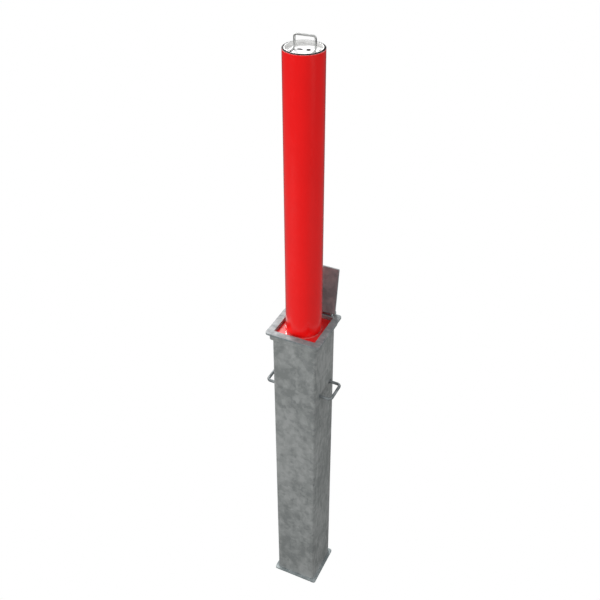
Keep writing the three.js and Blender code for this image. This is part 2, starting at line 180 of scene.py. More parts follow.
def start_finish(name):
    """A material by its name. A new one comes with its node tree, Principled shader and
    object coordinates, and one that has been made before comes alone."""
    material = bpy.data.materials.get(name)
    if material:
        return material, None, None, None
    material = bpy.data.materials.new(name)
    material.use_nodes = True
    tree = material.node_tree
    tree.nodes.clear()
    shader = add_node(tree, "ShaderNodeBsdfPrincipled")
    add_node(tree, "ShaderNodeOutputMaterial", {"Surface": shader.outputs["BSDF"]})
    place = add_node(tree, "ShaderNodeTexCoord").outputs["Object"]
    return material, tree, shader, place


def per_metre(millimetres):
    """The texture scale that gives features of this size."""
    return 1.0 / (millimetres * MM)


def galvanised(name="hot_dip_galvanised", light=None, dark=None, metallic=0.4):
    """Hot-dip galvanised steel: soft grey clouds over flat crystals of zinc, with dull,
    uneven gloss. Zinc runs off in streaks on the sides, so the clouds are drawn out there.
    The crystals are drawn about 12 mm across."""
    material, tree, shader, place = start_finish(name)
    if tree is None:
        return material
    cloud_mm, patch_mm, crystal_mm, grain_mm = 34, 120, 12, 2.2
    cloud_share, patch_share, crystal_share, grain_share = 0.45, 0.38, 0.1, 0.07
    streaked = add_node(tree, "ShaderNodeMapping", {"Vector": place, "Scale": (1.3, 2.4, 0.75)})
    cloud = add_node(tree, "ShaderNodeTexNoise",
                     {"Vector": streaked.outputs["Vector"], "Scale": per_metre(cloud_mm),
                      "Detail": 4.0, "Roughness": 0.52})
    patch = add_node(tree, "ShaderNodeTexNoise",
                     {"Vector": place, "Scale": per_metre(patch_mm), "Detail": 2.0,
                      "Roughness": 0.5})
    crystal = add_node(tree, "ShaderNodeTexVoronoi",
                       {"Vector": place, "Scale": per_metre(crystal_mm)})
    crystal_grey = add_node(tree, "ShaderNodeSeparateColor", {"Color": crystal.outputs["Color"]})
    grain = add_node(tree, "ShaderNodeTexNoise",
                     {"Vector": place, "Scale": per_metre(grain_mm), "Detail": 2.0})
    clouds = add_node(tree, "ShaderNodeMath",
                      {0: cloud.outputs["Fac"], 1: cloud_share}, operation="MULTIPLY")
    patches = add_node(tree, "ShaderNodeMath",
                       {0: patch.outputs["Fac"], 1: patch_share, 2: clouds.outputs[0]},
                       operation="MULTIPLY_ADD")
    flecks = add_node(tree, "ShaderNodeMath",
                      {0: crystal_grey.outputs[0], 1: crystal_share, 2: patches.outputs[0]},
                      operation="MULTIPLY_ADD")
    total = add_node(tree, "ShaderNodeMath",
                     {0: grain.outputs["Fac"], 1: grain_share, 2: flecks.outputs[0]},
                     operation="MULTIPLY_ADD")
    shade = add_node(tree, "ShaderNodeValToRGB", {"Fac": total.outputs[0]})
    set_ramp(shade, [(0.41, dark or colours().zinc_dark), (0.6, light or colours().zinc_light)])
    dullness = add_node(tree, "ShaderNodeMapRange",
                        {"Value": total.outputs[0], "From Min": 0.35, "From Max": 0.65,
                         "To Min": 0.6, "To Max": 0.44})
    relief = add_node(tree, "ShaderNodeBump",
                      {"Height": flecks.outputs[0], "Strength": 0.06, "Distance": 0.4 * MM})
    set_inputs(tree, shader, {"Base Color": shade.outputs["Color"], "Metallic": metallic,
                              "Roughness": dullness.outputs["Result"],
                              "Normal": relief.outputs["Normal"]})
    return material


def galvanised_plate():
    """Galvanised plate, hung flat in the bath: the same coat, duller and a little cooler."""
    return galvanised("galvanised_plate", colours().plate_light, colours().plate_dark, 0.15)


def galvanised_rod_and_weld_shade():
    """Galvanised rod and weld metal: silicon in it makes the zinc grow thick, dark and dull. On the weld beads
    this dark coat is also painted shade: along the casing's foot it draws the dark line where the casing meets the
    base plate.
    """
    return galvanised("galvanised_rod_and_weld_shade", colours().rod_light, colours().rod_dark, 0.25)


def powder_coat():
    """Gloss polyester powder coat on steel: an even saturated red under a clear skin with
    faint orange peel, drawn 3 mm across."""
    material, tree, shader, place = start_finish("gloss_powder_coat")
    if tree is None:
        return material
    tone_mm, peel_mm = 90, 3
    tone = add_node(tree, "ShaderNodeTexNoise",
                    {"Vector": place, "Scale": per_metre(tone_mm), "Detail": 3.0})
    red = colours().red
    thin_red = (red[0] * 0.94, red[1] * 0.9, red[2] * 0.9, 1.0)
    shade = add_node(tree, "ShaderNodeValToRGB", {"Fac": tone.outputs["Fac"]})
    set_ramp(shade, [(0.3, thin_red), (0.7, tuple(red))])
    peel = add_node(tree, "ShaderNodeTexNoise",
                    {"Vector": place, "Scale": per_metre(peel_mm), "Detail": 1.0})
    relief = add_node(tree, "ShaderNodeBump",
                      {"Height": peel.outputs["Fac"], "Strength": 0.05, "Distance": 0.1 * MM})
    set_inputs(tree, shader, {"Base Color": shade.outputs["Color"], "Roughness": 0.3,
                              "Normal": relief.outputs["Normal"], "Coat Weight": 1.0,
                              "Coat Roughness": 0.06, "Coat Normal": relief.outputs["Normal"]})
    return material


def blasted_stainless():
    """Fine-blasted 304 stainless sheet: bright and softly reflecting, with rubbing marks."""
    material, tree, shader, place = start_finish("blasted_stainless")
    if tree is None:
        return material
    rubbing_mm, smear_mm = 8, 18
    stretched = add_node(tree, "ShaderNodeMapping", {"Vector": place, "Scale": (1.0, 12.0, 12.0)})
    rubbing = add_node(tree, "ShaderNodeTexNoise",
                       {"Vector": stretched.outputs["Vector"], "Scale": per_metre(rubbing_mm),
                        "Detail": 4.0})
    smear = add_node(tree, "ShaderNodeTexNoise",
                     {"Vector": place, "Scale": per_metre(smear_mm), "Detail": 2.0})
    both = add_node(tree, "ShaderNodeMath",
                    {0: rubbing.outputs["Fac"], 1: smear.outputs["Fac"]}, operation="MULTIPLY")
    dullness = add_node(tree, "ShaderNodeMapRange",
                        {"Value": both.outputs[0], "From Min": 0.1, "From Max": 0.45,
                         "To Min": 0.3, "To Max": 0.46})
    steel = colours().stainless
    smeared = tuple(channel * 0.92 for channel in steel[:3]) + (1.0,)
    shade = add_node(tree, "ShaderNodeValToRGB", {"Fac": smear.outputs["Fac"]})
    set_ramp(shade, [(0.3, smeared), (0.7, tuple(steel))])
    relief = add_node(tree, "ShaderNodeBump",
                      {"Height": rubbing.outputs["Fac"], "Strength": 0.06, "Distance": 0.1 * MM})
    set_inputs(tree, shader, {"Base Color": shade.outputs["Color"], "Metallic": 0.5,
                              "Roughness": dullness.outputs["Result"],
                              "Normal": relief.outputs["Normal"]})
    return material


def plain_finish(name, colour, grain_mm, roughness, metallic=0.0, relief=0.1, spread=0.12,
                 shine=0.5):
    """One colour broken up by grain of a given size in shade, gloss and height."""
    material, tree, shader, place = start_finish(name)
    if tree is None:
        return material
    grain = add_node(tree, "ShaderNodeTexNoise",
                     {"Vector": place, "Scale": per_metre(grain_mm), "Detail": 4.0})
    shade = add_node(tree, "ShaderNodeValToRGB", {"Fac": grain.outputs["Fac"]})
    dark = tuple(channel * (1.0 - 2.0 * spread) for channel in colour[:3]) + (1.0,)
    set_ramp(shade, [(0.3, dark), (0.7, tuple(colour))])
    dullness = add_node(tree, "ShaderNodeMapRange",
                        {"Value": grain.outputs["Fac"], "From Min": 0.3, "From Max": 0.7,
                         "To Min": roughness + spread / 2, "To Max": roughness - spread / 2})
    bump = add_node(tree, "ShaderNodeBump",
                    {"Height": grain.outputs["Fac"], "Strength": relief, "Distance": 0.2 * MM})
    set_inputs(tree, shader, {"Base Color": shade.outputs["Color"], "Metallic": metallic,
                              "Roughness": dullness.outputs["Result"],
                              "Specular IOR Level": shine, "Normal": bump.outputs["Normal"]})
    return material


def drawn_stainless():
    """Drawn 304 stainless rod: grey and satin, as it leaves the drawing bench."""
    return plain_finish("drawn_stainless_rod", colours().drawn, 4.0, 0.32, metallic=0.85,
                        spread=0.08)


def zinc_plated():
    """Electroplated zinc: an even satin blue-grey, slightly cloudy."""
    return plain_finish("bright_zinc_plate", colours().plated, 6.0, 0.34, metallic=1.0)


def black_oxide():
    """Black oxide on turned steel: near black, oily satin."""
    return plain_finish("black_oxide", colours().blackened, 3.0, 0.5, metallic=0.1, shine=0.15)


def epdm_rubber():
    """Moulded EPDM: black, nearly dull, with a faint pitted skin."""
    return plain_finish("epdm_rubber", colours().rubber, 1.5, 0.6, relief=0.06, shine=0.05)


def black_plastic():
    """Injection-moulded polypropylene: black, with a fine spark-eroded grain."""
    return plain_finish("moulded_black_plastic", colours().plastic, 1.0, 0.55, relief=0.12,
                        shine=0.15)


def machined_nylon():
    """Turned nylon 6: milky white with a waxy surface."""
    return plain_finish("machined_nylon", colours().nylon, 2.0, 0.5, spread=0.05)


def turned_brass():
    """Turned brass: warm yellow metal with fine tool marks."""
    return plain_finish("turned_brass", colours().brass, 2.0, 0.26, metallic=1.0)


FINISH_OF_SLOT = {
    "galvanised": galvanised,
    "red_powder_coat": powder_coat,
    "stainless": blasted_stainless,
    "zinc_steel": zinc_plated,
    "seal_rubber": epdm_rubber,
    "buffer_rubber": epdm_rubber,
    "nylon": machined_nylon,
    "brass": turned_brass,
    "black_plastic": black_plastic,
    "black_oxide": black_oxide,
}


# ---------------------------------------------------------------- CAD nodes
def slot_of(node):
    """The material slot of a CAD node."""
    for part in frame["record"]["subparts"]:
        if part["node"] == node:
            return part["material_slot"]
    raise ValueError(f"no material slot for {node}")


def body_of(node):
    """The moving body that a CAD node belongs to."""
    for body, members in frame["record"]["behaviour"]["bodies"].items():
        if node in members:
            return body
    raise ValueError(f"no body for {node}")


def joint_of(name):
    """The frame's own entry for a joint."""
    return next(joint for joint in frame["joints"] if joint["name"] == name)


def centre_of(node):
    """The middle of a CAD node's box."""
    low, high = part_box(node)
    return (low + high) / 2


# ---------------------------------------------------------------- pieces
def soften(bm, width, segments=2, angle=50.0):
    """Rounds every edge that turns by more than the angle."""
    limit = math.radians(angle)
    sharp = [e for e in bm.edges if len(e.link_faces) == 2 and e.calc_face_angle(0.0) > limit]
    bmesh.ops.bevel(bm, geom=sharp, offset=width, segments=segments, profile=0.5,
                    affect="EDGES", material=-1, clamp_overlap=True)


def finish_piece(name, bm, like, finish=None):
    """Turns a bmesh into a piece with the body, slot and finish of a CAD node."""
    bmesh.ops.remove_doubles(bm, verts=bm.verts, dist=MERGE_WITHIN)
    bmesh.ops.recalc_face_normals(bm, faces=bm.faces)
    mesh = bpy.data.meshes.new(name)
    bm.to_mesh(mesh)
    bm.free()
    mesh.shade_smooth()
    mesh.set_sharp_from_angle(angle=math.radians(42))
    mesh.materials.append(finish or FINISH_OF_SLOT[slot_of(like)]())
    piece = bpy.data.objects.new(name, mesh)
    bpy.context.scene.collection.objects.link(piece)
    weighting = piece.modifiers.new("Even shading", "WEIGHTED_NORMAL")
    weighting.keep_sharp = True
    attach(piece, body_of(like))
    return piece


def stand_in_for(name, bm, node, finish=None):
    """A finished piece shown in place of a CAD node."""
    piece = finish_piece(name, bm, node, finish)
    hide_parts(node)
    return piece


# ---------------------------------------------------------------- plates
def rounded_outline(bm, width, length, corner, steps=10):
    """The edges of a rounded rectangle centred on Z."""
    half_x, half_y = width / 2, length / 2
    places = [(half_x, half_y), (-half_x, half_y), (-half_x, -half_y), (half_x, -half_y)]
    corners = [bm.verts.new((x, y, 0.0)) for x, y in places]
    bm.faces.new(corners)
    bmesh.ops.bevel(bm, geom=corners, offset=corner, segments=steps, profile=0.5,
                    affect="VERTICES", material=-1)
    flat = [face for face in bm.faces if abs(face.normal.z) > 0.5][-1]
    outline = list(flat.edges)
    bmesh.ops.delete(bm, geom=[flat], context="FACES_ONLY")
    return outline


def circle_outline(bm, radius, facets, x=0.0, y=0.0):
    """The edges of a circle at a place on the ground plane."""
    made = bmesh.ops.create_circle(bm, cap_ends=False, radius=radius, segments=facets,
                                   matrix=Matrix.Translation((x, y, 0.0)))
    return list({e for v in made["verts"] for e in v.link_edges})


def bore_outline(bm, side):
    """The edges of the casing's bore, for a casing with these sides."""
    bore = side - 2 * sizes().casing_wall
    return rounded_outline(bm, bore, bore, sizes().casing_corner - sizes().casing_wall)


def verts_of(edges):
    """The vertices at the ends of some edges, each once."""
    return list({v for e in edges for v in e.verts})


def fill_outlines(bm, edges):
    """Fills between an outer outline and the holes inside it."""
    made = bmesh.ops.triangle_fill(bm, use_beauty=True, use_dissolve=False, edges=edges,
                                   normal=UP)
    return [g for g in made["geom"] if isinstance(g, bmesh.types.BMFace)]


def raise_faces(bm, faces, height):
    """Extrudes flat faces upwards and leaves the bottom closed. Returns the top faces."""
    made = bmesh.ops.extrude_face_region(bm, geom=faces, use_keep_orig=True)
    top = [g for g in made["geom"] if isinstance(g, bmesh.types.BMFace)]
    verts = [g for g in made["geom"] if isinstance(g, bmesh.types.BMVert)]
    bmesh.ops.translate(bm, verts=verts, vec=(0, 0, height))
    return top


def raise_plate(bm, edges, low, high, rounding, segments=2):
    """Makes outlines into a plate with rounded edges, from the low to the high corner."""
    raise_faces(bm, fill_outlines(bm, edges), high.z - low.z)
    soften(bm, rounding, segments)
    bmesh.ops.translate(bm, verts=bm.verts, vec=(0, 0, low.z))


# ---------------------------------------------------------------- turned pieces and rod
def turned(bm, profile, facets, centre=(0, 0, 0)):
    """Spins a closed profile of (radius, height) points about Z."""
    verts = [bm.verts.new((radius, 0.0, height)) for radius, height in profile]
    edges = [bm.edges.new((a, b)) for a, b in zip(verts, verts[1:] + verts[:1])]
    bmesh.ops.spin(bm, geom=verts + edges, cent=(0, 0, 0), axis=UP, angle=2 * math.pi,
                   steps=facets, use_merge=True, use_normal_flip=False, use_duplicate=False)
    bmesh.ops.remove_doubles(bm, verts=bm.verts, dist=MERGE_WITHIN)
    stray = [e for e in bm.edges if not e.link_faces]
    bmesh.ops.delete(bm, geom=stray, context="EDGES")
    bmesh.ops.translate(bm, verts=bm.verts, vec=centre)


def chamfered_disc(radius, height, edge):
    """The profile of a solid disc with chamfered rims, on the axis."""
    return [(0, 0), (radius - edge, 0), (radius, edge), (radius, height - edge),
            (radius - edge, height), (0, height)]


def chamfered_ring(inner, outer, height, edge):
    """The profile of a ring with chamfered rims."""
    return [(inner + edge, 0), (outer - edge, 0), (outer, edge), (outer, height - edge),
            (outer - edge, height), (inner + edge, height), (inner, height - edge),
            (inner, edge)]


def push_section(bm, section, shift):
    """Extrudes a loop of edges by a shift. Returns the loop at the far end."""
    made = bmesh.ops.extrude_edge_only(bm, edges=section)
    verts = [g for g in made["geom"] if isinstance(g, bmesh.types.BMVert)]
    bmesh.ops.translate(bm, verts=verts, vec=shift)
    return [g for g in made["geom"] if isinstance(g, bmesh.types.BMEdge)
            and all(v in verts for v in g.verts)]


def drop_and_close(bm, loop, depth):
    """Extrudes an outline downwards and closes its foot."""
    bmesh.ops.edgeloop_fill(bm, edges=push_section(bm, loop, (0, 0, -depth)))


def rod_along(bm, points, radius, bend, facets, steps=8, closed=False):
    """Sweeps a round section along straight runs joined by true arcs. `bend` is how far
    before each corner its arc starts, as one length or one for each inner corner."""
    points = [Vector(p) for p in points]
    inner = range(len(points)) if closed else range(1, len(points) - 1)
    bends = bend if hasattr(bend, "__len__") else [bend] * len(inner)
    first = (points[-1] + points[0]) / 2 if closed else points[0]
    heading = ((points[0] if closed else points[1]) - first).normalized()
    matrix = Matrix.Translation(first) @ heading.to_track_quat("Z", "Y").to_matrix().to_4x4()
    made = bmesh.ops.create_circle(bm, cap_ends=not closed, radius=radius, segments=facets,
                                   matrix=matrix)
    section = list({e for v in made["verts"] for e in v.link_edges
                    if e.other_vert(v) in made["verts"]})
    here = first
    for index, cut in zip(inner, bends):
        corner = points[index]
        after = points[(index + 1) % len(points)]
        leaving = (after - corner).normalized()
        start = corner - heading * cut
        section = push_section(bm, section, start - here)
        turn = heading.angle(leaving)
        axis = heading.cross(leaving).normalized()
        arc_radius = cut / math.tan(turn / 2)
        centre = start + axis.cross(heading) * arc_radius
        made = bmesh.ops.spin(bm, geom=section, cent=centre, axis=axis, angle=turn, steps=steps,
                              use_merge=False, use_normal_flip=False, use_duplicate=False)
        section = [g for g in made["geom_last"] if isinstance(g, bmesh.types.BMEdge)]
        here = corner + leaving * cut
        heading = leaving
    last = first if closed else points[-1]
    section = push_section(bm, section, last - here)
    if not closed:
        bmesh.ops.edgeloop_fill(bm, edges=section)
    bmesh.ops.remove_doubles(bm, verts=bm.verts, dist=MERGE_WITHIN)


# ---------------------------------------------------------------- weld beads
def subdivide_long(bm, length):
    """Splits edges that are too long to carry ripples."""
    for _ in range(8):
        long_edges = [e for e in bm.edges if e.calc_length() > length]
        if not long_edges:
            return
        bmesh.ops.subdivide_edges(bm, edges=long_edges, cuts=1, use_grid_fill=True)


def ripple(bm, centre, height):
    """Breaks a smooth bead into overlapping ripples, as a hand-laid weld has."""
    pitch, radius = sizes().weld_pitch, sizes().weld_radius
    lumps_per_metre = 90.0
    for vert in bm.verts:
        away = vert.co - centre
        along = math.atan2(away.y, away.x) * max(abs(away.x), abs(away.y)) + away.z
        wave = math.sin(2 * math.pi * along / pitch)
        lump = noise.noise(vert.co * lumps_per_metre)
        vert.co += vert.normal * radius * (height * (0.6 * wave + 0.8 * lump))


def square_bead(bm, side, level):
    """A bead that runs once round the casing's section at one height."""
    reach = side / 2
    places = [(reach, reach, level), (-reach, reach, level), (-reach, -reach, level),
              (reach, -reach, level)]
    rod_along(bm, places, sizes().weld_radius, sizes().casing_corner, facets=10, closed=True)


def add_bead(name, bm, like, height=0.18):
    """Makes a smooth bead into a finished weld. The height is a share of its radius."""
    subdivide_long(bm, sizes().weld_pitch / 2)
    bmesh.ops.recalc_face_normals(bm, faces=bm.faces)
    ripple(bm, Vector((0, 0, centre_of(like).z)), height)
    # Every bead takes the dark rod coat: real zinc on weld metal, and also painted shade along the casing's foot.
    return finish_piece(name, bm, like, galvanised_rod_and_weld_shade())


# ---------------------------------------------------------------- casing
class BOLLARD_OT_casing(bpy.types.Operator):
    """Make the square casing and its base plate"""
    bl_idname = "bollard.casing"
    bl_label = "Casing"

    def execute(self, context):
        low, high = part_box("casing_tube")
        side = high.x - low.x
        bm = bmesh.new()
        edges = rounded_outline(bm, side, side, sizes().casing_corner)
        edges += bore_outline(bm, side)
        raise_plate(bm, edges, low, high, 0.5 * MM)
        stand_in_for("casing_section", bm, "casing_tube")

        low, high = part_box("base_plate")
        plate_corner, drain_radius, drain_out = 8 * MM, 8 * MM, 40 * MM
        bm = bmesh.new()
        edges = rounded_outline(bm, high.x - low.x, high.y - low.y, plate_corner)
        for x, y in ((1, 0), (0, 1), (-1, 0), (0, -1)):
            edges += circle_outline(bm, drain_radius, 32, x * drain_out, y * drain_out)
        raise_plate(bm, edges, low, high, sizes().plate_edge)
        stand_in_for("foot_plate", bm, "base_plate", galvanised_plate())

        # Foot weld: its dark coat is partly painted shade, the dark line where the casing meets the base plate.
        bm = bmesh.new()
        square_bead(bm, side, high.z + 0.5 * MM)
        add_bead("foot_weld", bm, "base_plate")
        return {"FINISHED"}


class BOLLARD_OT_mouth(bpy.types.Operator):
    """Make the flange round the mouth and the collar under it"""
    bl_idname = "bollard.mouth"
    bl_label = "Mouth frame"

    def execute(self, context):
        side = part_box("casing_tube")[1].x * 2
        plate_corner = 10 * MM
        low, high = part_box("top_frame")
        bm = bmesh.new()
        edges = rounded_outline(bm, high.x - low.x, high.y - low.y, plate_corner)
        edges += bore_outline(bm, side)
        raise_plate(bm, edges, low, high, sizes().plate_edge * 1.3, segments=3)
        stand_in_for("mouth_flange", bm, "top_frame", galvanised_plate())

        low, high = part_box("frame_collar")
        collar_bore = side + 0.6 * MM
        bm = bmesh.new()
        edges = rounded_outline(bm, high.x - low.x, high.y - low.y, plate_corner)
        edges += rounded_outline(bm, collar_bore, collar_bore, sizes().casing_corner)
        raise_plate(bm, edges, low, high, sizes().plate_edge)
        stand_in_for("mouth_collar", bm, "frame_collar")

        bm = bmesh.new()
        square_bead(bm, side, low.z - 0.6 * MM)
        add_bead("collar_weld", bm, "frame_collar")
        return {"FINISHED"}


class BOLLARD_OT_anchor_loops(bpy.types.Operator):
    """Bend the two anchor loops and weld them to the casing"""
    bl_idname = "bollard.anchor_loops"
    bl_label = "Anchor loops"

    def execute(self, context):
        bend = 12 * MM
        bead_out, bead_wide, bead_tall = 2.6 * MM, 1.55, 1.5
        for node, side in (("anchor_loop_left", -1), ("anchor_loop_right", 1)):
            low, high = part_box(node)
            radius = (high.z - low.z) / 2
            level = centre_of(node).z
            near = side * min(abs(low.x), abs(high.x))
            far = side * (max(abs(low.x), abs(high.x)) - radius)
            reach = high.y - radius
            places = [(near, -reach, level), (far, -reach, level), (far, reach, level),
                      (near, reach, level)]
            bm = bmesh.new()
            rod_along(bm, places, radius, bend, facets=20, steps=10)
            stand_in_for(node.replace("loop", "hoop"), bm, node, galvanised_rod_and_weld_shade())

            bm = bmesh.new()
            for y in (-reach, reach):
                foot = bmesh.ops.create_uvsphere(bm, u_segments=20, v_segments=12, radius=1.0)
                bmesh.ops.scale(bm, verts=foot["verts"],
                                vec=(bead_out, radius * bead_wide, radius * bead_tall))
                bmesh.ops.translate(bm, verts=foot["verts"], vec=(near, y, level))
            add_bead(node + "_weld", bm, node, height=0.3)
        return {"FINISHED"}


class BOLLARD_OT_inside(bpy.types.Operator):
    """Make the stop lugs and the rubber buffers inside the casing, and the lid's stops"""
    bl_idname = "bollard.inside"
    bl_label = "Lugs and buffers"

    def execute(self, context):
        rounding = 0.8 * MM
        for node in ("stop_lug_front", "stop_lug_rear", "lid_stop_left", "lid_stop_right"):
            low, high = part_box(node)
            bm = bmesh.new()
            made = bmesh.ops.create_cube(bm, size=1.0)
            bmesh.ops.scale(bm, verts=made["verts"], vec=high - low)
            bmesh.ops.translate(bm, verts=made["verts"], vec=(low + high) / 2)
            soften(bm, rounding, segments=3)
            stand_in_for(node + "_block", bm, node)
        for index in range(1, 5):
            node = f"rest_buffer_{index}"
            low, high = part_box(node)
            radius = (high.x - low.x) / 2
            height = high.z - low.z
            profile = [(0, 0), (radius, 0), (radius, height * 0.35), (radius * 0.9, height * 0.5),
                       (radius * 0.9, height - 3 * MM), (radius * 0.7, height), (0, height)]
            bm = bmesh.new()
            turned(bm, profile, 32, (*centre_of(node).xy, low.z))
            soften(bm, rounding, angle=20.0)
            stand_in_for(f"buffer_{index}", bm, node)
        return {"FINISHED"}


# ---------------------------------------------------------------- hinge and lid
def hinge_matrix(name):
    """A frame at a hinge, with its X along the hinge's axis."""
    joint = joint_of(name)
    along = Vector(joint["axis"]).normalized()
    back = UP.cross(along)
    rotation = Matrix((along, back, UP)).transposed().to_4x4()
    return Matrix.Translation(joint["pos_m"]) @ rotation


def lie_along_x(name, node, profile, finish=None):
    """A turned piece that lies along X, in place of a CAD node."""
    low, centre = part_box(node)[0], centre_of(node)
    bm = bmesh.new()
    turned(bm, profile, 32)
    bmesh.ops.rotate(bm, verts=bm.verts, cent=(0, 0, 0),
                     matrix=Matrix.Rotation(math.pi / 2, 3, "Y"))
    bmesh.ops.translate(bm, verts=bm.verts, vec=(low.x, centre.y, centre.z))
    stand_in_for(name, bm, node, finish)


class BOLLARD_OT_hinge(bpy.types.Operator):
    """Make the hinge pin and its knuckles"""
    bl_idname = "bollard.hinge"
    bl_label = "Hinge"

    def execute(self, context):
        knuckle_wall, knuckle_chamfer, pin_chamfer = 1.2 * MM, 0.4 * MM, 0.8 * MM
        for node in ("frame_knuckle_left", "frame_knuckle_right", "lid_knuckle"):
            low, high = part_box(node)
            outer = (high.z - low.z) / 2
            profile = chamfered_ring(outer - knuckle_wall, outer, high.x - low.x,
                                     knuckle_chamfer)
            lie_along_x(node.replace("knuckle", "hinge_barrel"), node, profile)
        low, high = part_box("hinge_pin")
        profile = chamfered_disc((high.z - low.z) / 2, high.x - low.x, pin_chamfer)
        lie_along_x("hinge_rod", "hinge_pin", profile, zinc_plated())
        return {"FINISHED"}


class BOLLARD_OT_lid(bpy.types.Operator):
    """Make the lid with its finger hole"""
    bl_idname = "bollard.lid"
    bl_label = "Lid"

    def execute(self, context):
        lean = math.radians(9.3)
        length, thick, corner = 158 * MM, 6 * MM, 3 * MM
        past_pin, under_pin = 4.8 * MM, 4.5 * MM
        hole_radius, hole_from_edge = 12 * MM, 34 * MM
        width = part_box("lid_plate")[1].x * 2
        bm = bmesh.new()
        edges = rounded_outline(bm, width, length, corner)
        edges += circle_outline(bm, hole_radius, 48, 0.0, -length / 2 + hole_from_edge)
        raise_faces(bm, fill_outlines(bm, edges), thick)
        soften(bm, sizes().plate_edge * 1.2, segments=3)
        bmesh.ops.translate(bm, verts=bm.verts, vec=(0, -past_pin - length / 2, -under_pin))
        opened = hinge_matrix("lid_hinge") @ Matrix.Rotation(-(math.pi / 2 + lean), 4, "X")
        bmesh.ops.transform(bm, matrix=opened, verts=bm.verts)
        stand_in_for("lid_panel", bm, "lid_plate", galvanised_plate())
        return {"FINISHED"}


# ---------------------------------------------------------------- post
class BOLLARD_OT_post(bpy.types.Operator):
    """Make the post tube with the slot that its bolt passes through"""
    bl_idname = "bollard.post"
    bl_label = "Post"

    def execute(self, context):
        low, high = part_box("post_tube")
        outer = high.x
        inner = outer - sizes().tube_wall
        height = high.z - low.z
        curl, curl_steps = 1.8 * MM, 6
        profile = [(inner, 0), (outer, 0), (outer, height - curl)]
        for step in range(1, curl_steps + 1):
            angle = math.pi / 2 * step / curl_steps
            profile.append((outer - curl * (1 - math.cos(angle)),
                            height - curl * (1 - math.sin(angle))))
        bm = bmesh.new()
        turned(bm, profile + [(inner, height)], TUBE_FACETS, (0, 0, low.z))

        bolt_low, bolt_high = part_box("latch_bolt")
        room = 0.4 * MM
        levels = [bolt_low.z - room, bolt_high.z + room]
        sides = [bolt_low.x - room, bolt_high.x + room]
        cuts = [((0, 0, z), (0, 0, 1)) for z in levels] + [((x, 0, 0), (1, 0, 0)) for x in sides]
        for place, across in cuts:
            bmesh.ops.bisect_plane(bm, geom=bm.verts[:] + bm.edges[:] + bm.faces[:], dist=1e-7,
                                   plane_co=place, plane_no=across)
        window = []
        for face in bm.faces:
            middle = face.calc_center_median()
            inside = sides[0] < middle.x < sides[1] and levels[0] < middle.z < levels[1]
            if inside and middle.y < 0:
                window.append(face)
        bmesh.ops.delete(bm, geom=window, context="FACES")
        bmesh.ops.bridge_loops(bm, edges=[e for e in bm.edges if e.is_boundary])
        stand_in_for("post_shell", bm, "post_tube")
        return {"FINISHED"}


def guide_outline(bm, side, notch_half, notch_depth):
    """The square guide plate, with a notch in the middle of the front and rear edges."""
    half = side / 2
    places = [(half, half), (notch_half, half), (notch_half, notch_depth),
              (-notch_half, notch_depth), (-notch_half, half), (-half, half), (-half, -half),
              (-notch_half, -half), (-notch_half, -notch_depth), (notch_half, -notch_depth),
              (notch_half, -half), (half, -half)]
    verts = [bm.verts.new((x, y, 0.0)) for x, y in places]
    return [bm.edges.new((a, b)) for a, b in zip(verts, verts[1:] + verts[:1])]


class BOLLARD_OT_guide_plates(bpy.types.Operator):
    """Make the two square guide plates and the painted welds that hold them"""
    bl_idname = "bollard.guide_plates"
    bl_label = "Guide plates"

    def execute(self, context):
        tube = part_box("post_tube")[1].x
        notch_half, notch_from_axis, lower_corner = 16.5 * MM, 58.5 * MM, 4 * MM
        bead = [(tube - 0.5 * MM, 0), (tube + 2.2 * MM, 0), (tube + 1.5 * MM, 1 * MM),
                (tube + 0.7 * MM, 1.8 * MM), (tube - 0.5 * MM, 2.4 * MM)]
        bead_sunk, ripple_height = 0.4 * MM, 0.25 * MM
        lump_height, lumps_per_metre = 0.35 * MM, 70.0
        for node in ("guide_plate_upper", "guide_plate_lower"):
            low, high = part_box(node)
            side = high.x - low.x
            bm = bmesh.new()
            if node == "guide_plate_upper":
                edges = guide_outline(bm, side, notch_half, notch_from_axis)
            else:
                edges = rounded_outline(bm, side, side, lower_corner)
            edges += circle_outline(bm, tube + 0.25 * MM, TUBE_FACETS)
            raise_plate(bm, edges, low, high, sizes().plate_edge)
            stand_in_for(node.replace("plate", "square"), bm, node)

            bm = bmesh.new()
            turned(bm, bead, 2 * TUBE_FACETS, (0, 0, high.z - bead_sunk))
            for vert in bm.verts:
                if vert.co.z > high.z:
                    turn = math.atan2(vert.co.y, vert.co.x)
                    wave = math.sin(turn * tube / sizes().weld_pitch * 2 * math.pi)
                    vert.co.z += ripple_height * wave
                    lump = noise.noise(vert.co * lumps_per_metre)
                    vert.co += vert.co.normalized() * lump_height * lump
            finish_piece(node + "_weld", bm, node)
        return {"FINISHED"}


# ---------------------------------------------------------------- head
def head_turn():
    """The head is set round the post's axis by this much, as the handle's hinge shows."""
    axis = joint_of("handle_hinge")["axis"]
    return math.atan2(axis[1], axis[0])


